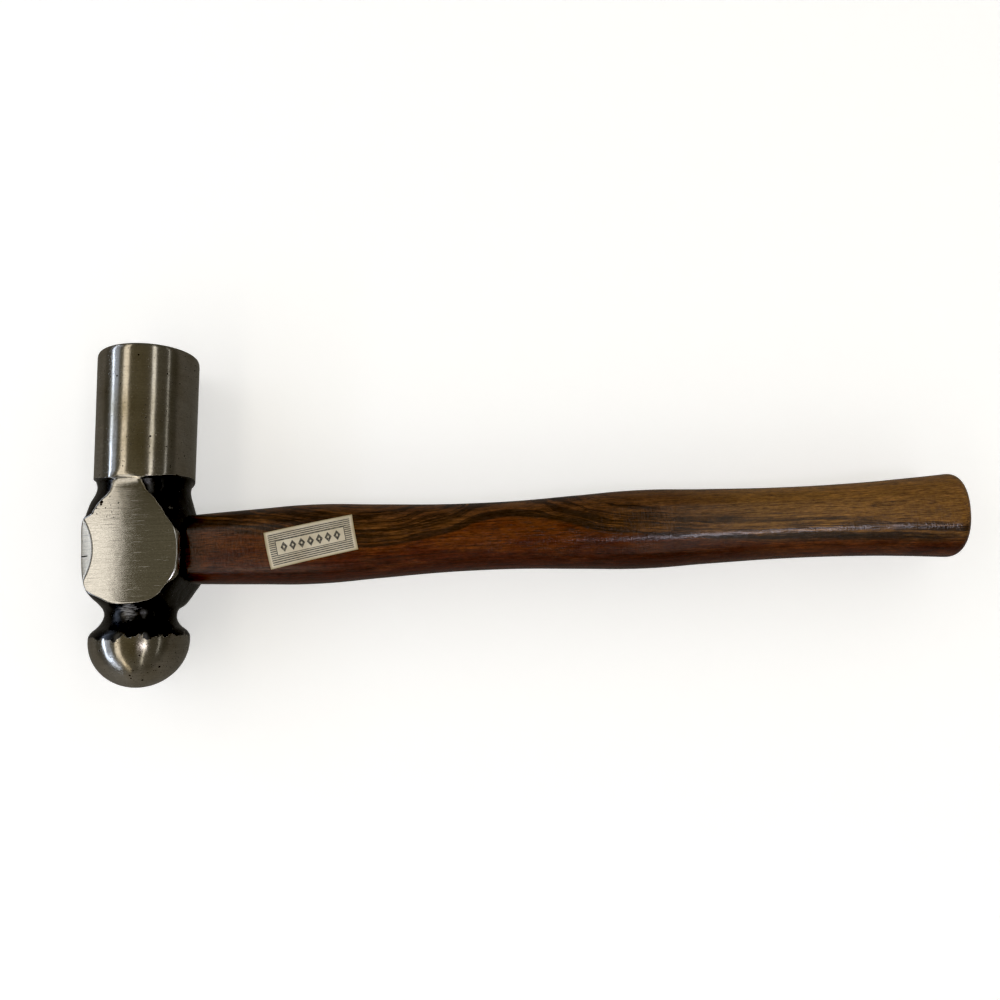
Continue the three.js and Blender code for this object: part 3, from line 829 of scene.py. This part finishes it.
def steel_material():
    """Medium carbon steel, forged, then ground along the cheeks, polished on the poll and the ball,
    and dipped in black lacquer between them. The polish mirrors the lights in wavy streaks, the
    grinding draws fine lines across, rust has left small pits, and the lacquer stops in a ragged line."""
    material, tree, shader, point = start_material("ground_and_lacquered_steel")
    split = add(tree, "SeparateXYZ", point)
    reach = add(tree, "Attribute", attribute_name="lacquer").outputs["Fac"]
    ground = add(tree, "Attribute", attribute_name="ground").outputs["Fac"]
    satin = add(tree, "MapRange", ground, -0.05, 0.12)

    # the lacquer's edge wanders by half a millimetre on the ball, with fine teeth, and less elsewhere
    wander = stretched(tree, point, (0.24, 0.24, 0.24), Detail=6.0, Roughness=0.72)
    wander = add(tree, "MapRange", wander, 0.3, 0.7, -1.0, 1.0)
    ragged = add(tree, "MapRange", split.outputs["Y"], -30.0, -24.0, 2.2, 0.2)
    edge = add(tree, "Math", wander, ragged, reach, operation="MULTIPLY_ADD")
    lacquer = add(tree, "MapRange", edge, -0.08, 0.08)

    # knocks have chipped it, and rubbing has dulled it at the front of the neck
    chipped = None
    strokes = stretched(tree, point, (0.35, 2.6, 1.2), Detail=3.0, Roughness=0.6)
    flakes = stretched(tree, point, (0.7, 1.5, 1.5), Detail=3.0, Roughness=0.6)
    for place, radius in (((15.3, 14.6, 13.5), 2.6), ((19.0, 4.5, 14.0), 1.6), ((20.0, -13.5, 12.5), 2.2)):
        away = near_to(tree, point, place, 0.0, radius, 0.16, -0.3)
        chipped = away if chipped is None else add(tree, "Math", chipped, away, operation="MAXIMUM")
    chipped = add(tree, "Math", chipped, flakes, operation="ADD")
    chipped = add(tree, "MapRange", chipped, 0.62, 0.68, 1.0, 0.0)
    lacquer = add(tree, "Math", lacquer, chipped, operation="MULTIPLY")
    rubbed = near_to(tree, point, (1.0, -24.0, 14.0), 1.0, 5.5, 0.2, -0.2)
    rubbed = add(tree, "Math", rubbed, strokes, operation="ADD")
    scuffed = add(tree, "MapRange", rubbed, 0.52, 0.72)
    metal = add(tree, "Math", 1.0, lacquer, operation="SUBTRACT")

    # grinding lines run straight across the head, three or more to the millimetre
    lines = stretched(tree, point, (0.022, 5.5, 0.12), Detail=3.0, Roughness=0.8)
    scores = stretched(tree, point, (0.1, 3.4, 0.12), Detail=3.0, Roughness=0.5)
    deep_score = add(tree, "MapRange", split.outputs["X"], -16.0, 8.0, 0.56, 0.66)
    spot = near_to(tree, point, (-7.0, 11.0, 16.0), 2.0, 9.0, 0.03, 0.0)
    scores = add(tree, "Math", scores, spot, operation="ADD")
    score = add(tree, "MapRange", scores, deep_score, 0.72)
    score = add(tree, "Math", score, satin, operation="MULTIPLY")

    # pits from rust, half a millimetre across or less, crowded here and there
    crowd = stretched(tree, point, (0.06, 0.06, 0.06), Detail=2.0)
    rusted = near_to(tree, point, (-8.5, 14.0, 16.0), 3.5, 7.5, 0.18, -0.17)
    fewer = add(tree, "Math", rusted, satin, operation="MULTIPLY")
    pit = None
    for scale, rare, common, size in ((0.62, 0.86, 0.5, 0.3), (1.6, 0.84, 0.45, 0.32)):
        cells = add(tree, "TexVoronoi", {"Vector": point, "Scale": scale})
        chance = add(tree, "SeparateColor", cells.outputs["Color"])
        least = add(tree, "MapRange", crowd, 0.4, 0.68, rare, common)
        wide = add(tree, "MapRange", chance.outputs["Red"], least, 1.0, -0.06, size)
        wide = add(tree, "Math", fewer, wide, operation="ADD")
        hole = add(tree, "Math", wide, cells.outputs["Distance"], operation="SUBTRACT")
        hole = add(tree, "MapRange", hole, -0.01, 0.07)
        pit = hole if pit is None else add(tree, "Math", pit, hole, operation="MAXIMUM")

    # a nick in the eye's upper edge
    nick_y = add(tree, "Math", split.outputs["Y"], -3.1, 0.24, operation="COMPARE")
    nick_x = add(tree, "Math", split.outputs["X"], -14.4, operation="LESS_THAN")
    nick_z = add(tree, "Math", split.outputs["Z"], 12.9, operation="GREATER_THAN")
    nick = add(tree, "Math", nick_x, nick_y, operation="MULTIPLY")
    nick = add(tree, "Math", nick, nick_z, operation="MULTIPLY")
    pit = add(tree, "Math", pit, nick, operation="MAXIMUM")

    # colour: pale grey steel, tarnished to olive in patches, dark in the pits and scores
    tone = stretched(tree, point, (0.05, 0.03, 0.05), Detail=4.0, Roughness=0.6)
    bright = ramp(add(tree, "ValToRGB", tone), [(0.35, "#c9c6bd"), (0.52, "#c1bbae"), (0.7, "#a69e8a")])
    cheek_tone = ramp(add(tree, "ValToRGB", tone), [(0.35, "#cfcfcd"), (0.7, "#c5c5c3")])
    filed = add(tree, "Attribute", attribute_name="filed").outputs["Fac"]
    filed = add(tree, "MapRange", filed, -0.5, 0.5)
    cheek_tone = add(tree, "Mix", filed, cheek_tone, srgb("#dccfb6"), data_type="RGBA")
    fouled = add(tree, "MapRange", split.outputs["Y"], 6.0, 22.0, 0.0, 0.45)
    cheek_tone = add(tree, "Mix", fouled, cheek_tone, srgb("#8b8679"), data_type="RGBA")
    bright = add(tree, "Mix", satin, bright, cheek_tone, data_type="RGBA")
    line_tone = add(tree, "MapRange", lines, 0.3, 0.7, 0.78, 1.12)
    dust = stretched(tree, point, (1.6, 2.4, 1.6), Detail=3.0, Roughness=0.65)
    dust = add(tree, "MapRange", dust, 0.3, 0.7, 0.82, 1.12)
    line_tone = add(tree, "Math", line_tone, dust, operation="MULTIPLY")
    tinted = add(tree, "VectorMath", bright, line_tone, operation="SCALE")
    dark = add(tree, "Math", score, 0.3, operation="MULTIPLY")
    dark = add(tree, "Math", pit, dark, operation="MAXIMUM")
    pitted = add(tree, "Mix", dark, tinted, srgb("#2a241c"), data_type="RGBA")
    black_tone = stretched(tree, point, (0.25, 0.25, 0.25), Detail=4.0)
    black = ramp(add(tree, "ValToRGB", black_tone), [(0.4, "#020202"), (0.8, "#0a0a0b")])
    grey = add(tree, "Mix", scuffed, black, srgb("#8e8e90"), data_type="RGBA")
    colour = add(tree, "Mix", lacquer, pitted, grey, data_type="RGBA")

    # roughness
    polish = add(tree, "MapRange", tone, 0.3, 0.7, 0.15, 0.24)
    brushed = add(tree, "MapRange", lines, 0.3, 0.7, 0.09, 0.14)
    brushed = add(tree, "Math", filed, 0.24, brushed, operation="MULTIPLY_ADD")
    rough = add(tree, "Mix", satin, polish, brushed, data_type="FLOAT")
    rough = add(tree, "Mix", dark, rough, 0.7, data_type="FLOAT")
    gloss = add(tree, "MapRange", black_tone, 0.3, 0.8, 0.22, 0.36)
    rough = add(tree, "Mix", lacquer, rough, gloss, data_type="FLOAT")

    # relief: hand polishing leaves slow waves, deeper on the ball; grinding leaves fine lines; the
    # lacquer has a soft orange peel
    waves = stretched(tree, point, (0.11, 0.05, 0.11), Detail=2.0)
    on_ball = add(tree, "MapRange", split.outputs["Y"], -36.0, -28.0, 5.5, 1.0)
    flatter = add(tree, "MapRange", satin, 0.0, 1.0, 1.0, 0.4)
    waves = add(tree, "Math", waves, on_ball, operation="MULTIPLY")
    waves = add(tree, "Math", waves, flatter, operation="MULTIPLY")
    peel = stretched(tree, point, (0.7, 0.7, 0.7), Detail=2.0)
    line_depth = add(tree, "MapRange", satin, 0.0, 1.0, 0.25, 1.0)
    line_relief = add(tree, "Math", lines, line_depth, operation="MULTIPLY")
    normal = add(tree, "Bump", {"Strength": 1.0, "Distance": 0.00008, "Height": waves})
    relief = {"Strength": 0.5, "Distance": 0.00001, "Height": line_relief, "Normal": normal}
    normal = add(tree, "Bump", relief)
    relief = {"Strength": 0.4, "Distance": 0.00003, "Height": dark, "Normal": normal}
    normal = add(tree, "Bump", relief, invert=True)
    thickness = add(tree, "Math", peel, 0.3, 0.6, operation="MULTIPLY_ADD")
    coat = add(tree, "Math", lacquer, thickness, operation="MULTIPLY")
    normal = add(tree, "Bump", {"Strength": 0.7, "Distance": 0.00012, "Height": coat, "Normal": normal})

    feed(tree, shader, {"Base Color": colour, "Roughness": rough, "Metallic": metal, "Normal": normal})
    # the lines spread the light along the head
    feed(tree, shader, {"Anisotropic": 0.8, "Tangent": add(tree, "CombineXYZ", 0.0, 1.0)})
    return material


def rosewood_material():
    """Sheesham, an Indian rosewood, sanded and varnished. Dark veins follow an arch over the front,
    golden wood lies above it towards the grip and red-brown wood below, open pores show as short dark
    dashes, and the varnish breaks the light along the cross marks of the sanding."""
    material, tree, shader, point = start_material("varnished_sheesham")
    split = add(tree, "SeparateXYZ", point)
    x, y, z = split.outputs["X"], split.outputs["Y"], split.outputs["Z"]

    # how far above the arch a point lies, in millimetres, counted along the growth layers
    along = add(tree, "MapRange", x, 0.0, 330.0)
    arch_line = [(0, 8), (45, 3), (84, -4), (97, -4), (109, -1.8), (122, 0.4), (134, 4.3), (149, 5.2)]
    arch_line += [(164, 2.6), (178, -1.6), (191, -4.3), (224, -7.4), (259, -9.6), (330, -12.5)]
    arch = curve(
        add(tree, "FloatCurve", {"Value": along}),
        [(place / 330, (height + 20) / 40) for place, height in arch_line],
    )
    arch = add(tree, "MapRange", arch, 0.0, 1.0, -20.0, 20.0)
    sway = stretched(tree, point, (0.02, 0.1, 0.1), Detail=3.0, Roughness=0.6)
    sway = add(tree, "MapRange", sway, 0.3, 0.7, -1.0, 1.0)
    level = add(tree, "Math", y, arch, operation="SUBTRACT")
    level = add(tree, "Math", level, sway, operation="ADD")
    level = add(tree, "Math", z, 0.3, level, operation="MULTIPLY_ADD")
    level = add(tree, "Math", level, 3.3, operation="SUBTRACT")

    # veins and finer streaks that keep to the growth layers
    slow_x = add(tree, "Math", x, 0.011, operation="MULTIPLY")
    layer = add(tree, "CombineXYZ", slow_x, level, add(tree, "Math", z, 0.08, operation="MULTIPLY"))
    veins = add(tree, "TexNoise", {"Vector": layer, "Scale": 0.95, "Detail": 4.0, "Roughness": 0.6})
    streaks = stretched(tree, layer, (3.2, 2.4, 1.0), Detail=4.0, Roughness=0.65)
    mottle = stretched(tree, point, (0.07, 0.22, 0.22), Detail=4.0, Roughness=0.6)
    grain = stretched(tree, point, (0.06, 1.9, 1.9), Detail=6.0, Roughness=0.72)
    speck = stretched(tree, point, (0.5, 2.2, 2.2), Detail=3.0, Roughness=0.6)
    pores = stretched(tree, point, (0.17, 2.6, 2.6), Detail=2.0, Roughness=0.5)
    pores = add(tree, "MapRange", pores, 0.57, 0.66)

    # the light wood: red-brown below, brown turning golden above and towards the grip, with painted shade
    # that pulls it darker and redder towards the lower side
    golden = curve(
        add(tree, "FloatCurve", {"Value": along}),
        [
            *[(0.0, 0.4), (0.15, 0.36), (0.4, 0.36), (0.55, 0.4)],
            *[(0.66, 0.62), (0.78, 0.95), (0.88, 0.85), (1.0, 0.85)],
        ],
    )
    over = add(tree, "MapRange", level, -1.0, 3.0, interpolation_type="SMOOTHSTEP")
    over = add(tree, "Math", over, 0.8, 0.2, operation="MULTIPLY_ADD")
    shade = add(tree, "Math", golden, over, operation="MULTIPLY")
    # painted shade: the wood's lower side is moved down the ramp, darker and redder
    lower_side_shade = add(tree, "MapRange", y, -13.0, -1.0, -0.12, 0.06)
    shade = add(tree, "Math", shade, lower_side_shade, operation="ADD")
    uneven = add(tree, "MapRange", mottle, 0.3, 0.7, -0.11, 0.11)
    shade = add(tree, "Math", shade, uneven, operation="ADD")
    light = ramp(
        add(tree, "ValToRGB", shade),
        [(0.0, "#451905"), (0.14, "#62310e"), (0.36, "#5d3615"), (0.65, "#6c461e"), (1.0, "#845b27")],
    )

    # the dark wood: heavy just above the arch, then thinning out in lines
    start = add(tree, "MapRange", level, -0.6, 0.7)
    depth = add(tree, "MapRange", x, 145.0, 215.0, 34.0, 13.0)
    fade = add(tree, "Math", level, depth, operation="DIVIDE")
    fade = add(tree, "MapRange", fade, 0.1, 1.0, 0.68, 0.0, interpolation_type="SMOOTHSTEP")
    heavy = add(tree, "MapRange", level, 0.8, 3.2, 0.42, 0.0, interpolation_type="SMOOTHSTEP")
    lined = add(tree, "MapRange", veins, 0.42, 0.58, 0.6, -0.6)
    fine_lined = add(tree, "MapRange", streaks, 0.35, 0.65, 0.3, -0.3)
    patchy = add(tree, "MapRange", mottle, 0.35, 0.65, 0.45, -0.45)
    strength = add(tree, "Math", fade, heavy, operation="ADD")
    swing = add(tree, "Math", lined, fine_lined, operation="ADD")
    swing = add(tree, "Math", swing, patchy, operation="ADD")
    present = add(tree, "MapRange", strength, 0.0, 0.3)
    dark = add(tree, "Math", swing, present, strength, operation="MULTIPLY_ADD")
    dark = add(tree, "Math", dark, start, operation="MULTIPLY", use_clamp=True)

    # a few long thin lines in the red wood
    thread = stretched(tree, point, (0.006, 0.3, 0.3), Detail=1.0)
    thread = add(tree, "Math", thread, 0.5, operation="SUBTRACT")
    thread = add(tree, "Math", thread, operation="ABSOLUTE")
    thread = add(tree, "MapRange", thread, 0.0, 0.012, 0.6, 0.0)
    dash = add(tree, "Math", pores, 0.6, operation="MULTIPLY")
    thread = add(tree, "Math", thread, dash, operation="MAXIMUM")
    dark = add(tree, "Math", dark, 0.88, operation="MULTIPLY")
    dark = add(tree, "Math", dark, thread, operation="MAXIMUM")

    wood = add(tree, "Mix", dark, light, srgb("#23160c"), data_type="RGBA")
    grain_tone = add(tree, "MapRange", grain, 0.3, 0.7, 0.3, 1.75)
    speck_tone = add(tree, "MapRange", speck, 0.3, 0.7, 0.6, 1.42)
    tone = add(tree, "Math", grain_tone, speck_tone, operation="MULTIPLY")
    # painted shade: the lower flank is darker, and so is the wood where it enters the eye
    lower_flank_shade = add(tree, "MapRange", y, -13.0, -7.0, 0.62, 0.86)
    tone = add(tree, "Math", tone, lower_flank_shade, operation="MULTIPLY")
    # painted shade where the wood meets the head
    eye_mouth_shade = add(tree, "MapRange", x, 19.5, 27.0, 0.25, 1.0)
    tone = add(tree, "Math", tone, eye_mouth_shade, operation="MULTIPLY")
    near_head = add(tree, "MapRange", x, 25.0, 95.0, 0.34, 0.0)
    upper = add(tree, "MapRange", y, -9.0, -2.0)
    deeper = add(tree, "Math", near_head, upper, operation="MULTIPLY")
    deeper = add(tree, "Math", 1.0, deeper, operation="SUBTRACT")
    waist = curve(
        add(tree, "FloatCurve", {"Value": along}),
        [(0.0, 1.0), (0.5, 1.0), (0.58, 0.8), (0.72, 0.8), (0.84, 0.93), (1.0, 0.93)],
    )
    deeper = add(tree, "Math", deeper, waist, operation="MULTIPLY")
    tone = add(tree, "Math", tone, deeper, operation="MULTIPLY")
    wood = add(tree, "VectorMath", wood, tone, operation="SCALE")

    ripple = stretched(tree, point, (1.15, 0.3, 0.3), Detail=4.0, Roughness=0.65)
    rough = add(tree, "MapRange", grain, 0.3, 0.7, 0.4, 0.55)
    normal = add(tree, "Bump", {"Strength": 0.5, "Distance": 0.00003, "Height": grain})
    relief = {"Strength": 0.6, "Distance": 0.00005, "Height": pores, "Normal": normal}
    normal = add(tree, "Bump", relief, invert=True)
    normal = add(tree, "Bump", {"Strength": 1.0, "Distance": 0.0001, "Height": ripple, "Normal": normal})
    feed(tree, shader, {"Base Color": wood, "Roughness": rough, "Normal": normal, "Coat Normal": normal})
    feed(tree, shader, {"Specular IOR Level": 0.15, "Coat Weight": 0.8, "Coat Roughness": 0.05})
    return material


def wedge_wood_material():
    """Bare sawn hardwood, seen on its end: pale, dry, with short growth lines and a little grime."""
    material, tree, shader, point = start_material("sawn_pale_hardwood")
    lines = stretched(tree, point, (0.2, 0.5, 3.0), Detail=5.0, Roughness=0.65)
    grime = stretched(tree, point, (0.3, 0.3, 0.3), Detail=4.0)
    pale = ramp(add(tree, "ValToRGB", lines), [(0.3, "#8d6a41"), (0.7, "#c79f6b")])
    dirt = add(tree, "MapRange", grime, 0.45, 0.75, 0.0, 0.5)
    colour = add(tree, "Mix", dirt, pale, srgb("#4a3521"), data_type="RGBA")
    normal = add(tree, "Bump", {"Strength": 0.7, "Distance": 0.00008, "Height": lines})
    feed(tree, shader, {"Base Color": colour, "Normal": normal, "Roughness": 0.75})
    return material


def wedge_steel_material():
    """Mild steel, sheared and hammered in: dull grey with brighter dents and a breath of rust."""
    material, tree, shader, point = start_material("hammered_mild_steel")
    dents = stretched(tree, point, (0.9, 0.9, 0.9), Detail=3.0)
    rust = stretched(tree, point, (0.6, 0.6, 0.6), Detail=5.0, Roughness=0.7)
    grey = ramp(add(tree, "ValToRGB", dents), [(0.35, "#6f6d69"), (0.65, "#a3a19b")])
    spots = add(tree, "MapRange", rust, 0.56, 0.7)
    colour = add(tree, "Mix", spots, grey, srgb("#5b3a24"), data_type="RGBA")
    metal = add(tree, "MapRange", spots, 0.0, 1.0, 1.0, 0.25)
    rough = add(tree, "MapRange", dents, 0.0, 1.0, 0.3, 0.6)
    normal = add(tree, "Bump", {"Strength": 0.8, "Distance": 0.00012, "Height": dents})
    feed(tree, shader, {"Base Color": colour, "Metallic": metal, "Roughness": rough, "Normal": normal})
    return material


def inside(tree, value, low, high, soft):
    """1 where a value lies between two limits, with soft sides."""
    up = add(tree, "MapRange", value, low - soft, low + soft)
    down = add(tree, "MapRange", value, high - soft, high + soft, 1.0, 0.0)
    return add(tree, "Math", up, down, operation="MULTIPLY")


def label_material():
    """Cheap cream paper, letterpress printed in black and yellowed under its varnish: fine ruled
    lines round a framed panel, with a row of plain lozenges in it."""
    material, tree, shader, point = start_material("printed_cream_paper")
    own = add(tree, "UVMap", uv_map="UVMap")
    split = add(tree, "SeparateXYZ", own)
    u = add(tree, "Math", split.outputs["X"], LABEL_LENGTH, operation="MULTIPLY")
    v = add(tree, "Math", split.outputs["Y"], LABEL_WIDTH, operation="MULTIPLY")
    soft = 0.07

    ruled = add(tree, "Math", add(tree, "Math", v, 0.8, operation="DIVIDE"), operation="FRACT")
    ruled = inside(tree, ruled, 0.2, 0.76, 0.1)
    field_u = inside(tree, u, 1.3, LABEL_LENGTH - 1.3, soft)
    field_v = inside(tree, v, 1.0, LABEL_WIDTH - 1.0, soft)
    panel_u = inside(tree, u, 3.7, LABEL_LENGTH - 3.7, soft)
    panel_v = inside(tree, v, 4.1, LABEL_WIDTH - 4.1, soft)
    panel = add(tree, "Math", panel_u, panel_v, operation="MULTIPLY")
    inner_u = inside(tree, u, 4.0, LABEL_LENGTH - 4.0, soft)
    inner_v = inside(tree, v, 4.4, LABEL_WIDTH - 4.4, soft)
    inner = add(tree, "Math", inner_u, inner_v, operation="MULTIPLY")
    border = add(tree, "Math", panel, inner, operation="SUBTRACT")
    outside = add(tree, "Math", 1.0, panel, operation="SUBTRACT")
    ink = add(tree, "Math", field_u, field_v, operation="MULTIPLY")
    ink = add(tree, "Math", ink, ruled, operation="MULTIPLY")
    ink = add(tree, "Math", ink, outside, operation="MULTIPLY")
    ink = add(tree, "Math", ink, border, operation="ADD")

    # a row of lozenges, one every 3.4 mm along the panel
    pitch, half_u, half_v = 3.4, 1.3, 1.9
    step = add(tree, "Math", u, 1 / pitch, 0.5, operation="MULTIPLY_ADD")
    step = add(tree, "Math", step, operation="FRACT")
    step = add(tree, "Math", step, 0.5, operation="SUBTRACT")
    off_u = add(tree, "Math", step, operation="ABSOLUTE")
    off_u = add(tree, "Math", off_u, pitch / half_u, operation="MULTIPLY")
    off_v = add(tree, "Math", v, LABEL_WIDTH / 2, operation="SUBTRACT")
    off_v = add(tree, "Math", add(tree, "Math", off_v, operation="ABSOLUTE"), half_v, operation="DIVIDE")
    away = add(tree, "Math", off_u, off_v, operation="ADD")
    lozenge = inside(tree, away, 0.3, 1.05, 0.06)
    row = inside(tree, u, 1.5 * pitch, LABEL_LENGTH - 1.5 * pitch, soft)
    lozenge = add(tree, "Math", lozenge, row, operation="MULTIPLY")
    lozenge = add(tree, "Math", lozenge, inner, operation="MULTIPLY")
    ink = add(tree, "Math", ink, lozenge, operation="MAXIMUM")

    # the ink is thin in places, and the paper has yellowed and is soiled round its edge
    patchy = stretched(tree, point, (1.4, 1.4, 1.4), Detail=3.0)
    patchy = add(tree, "MapRange", patchy, 0.35, 0.6, 0.72, 0.97)
    ink = add(tree, "Math", ink, patchy, operation="MULTIPLY")
    age = stretched(tree, point, (0.12, 0.2, 0.2), Detail=4.0)
    paper = ramp(add(tree, "ValToRGB", age), [(0.35, "#c6baa0"), (0.65, "#ddd4be")])
    clean_u = inside(tree, u, 0.5, LABEL_LENGTH - 0.5, 0.5)
    clean_v = inside(tree, v, 0.4, LABEL_WIDTH - 0.4, 0.4)
    clean = add(tree, "Math", clean_u, clean_v, operation="MULTIPLY")
    paper = add(tree, "Mix", clean, srgb("#a89771"), paper, data_type="RGBA")
    colour = add(tree, "Mix", ink, paper, srgb("#1c1a1c"), data_type="RGBA")
    fibres = stretched(tree, point, (2.2, 2.2, 2.2), Detail=4.0)
    normal = add(tree, "Bump", {"Strength": 0.4, "Distance": 0.00003, "Height": fibres})
    feed(tree, shader, {"Base Color": colour, "Normal": normal, "Roughness": 0.55})
    return material


# ---------------------------------------------------------------- the scene

make_camera()
make_stage()
make_lights()
make_world()
view = bpy.context.scene.view_settings
view.view_transform = "Standard"
# the deep blacks of a contrasty print
view.use_curve_mapping = True
view.curve_mapping.black_level = (0.008, 0.008, 0.008)
view.curve_mapping.update()

make_head()
handle_piece = make_handle_and_wedges()
make_label(handle_piece)
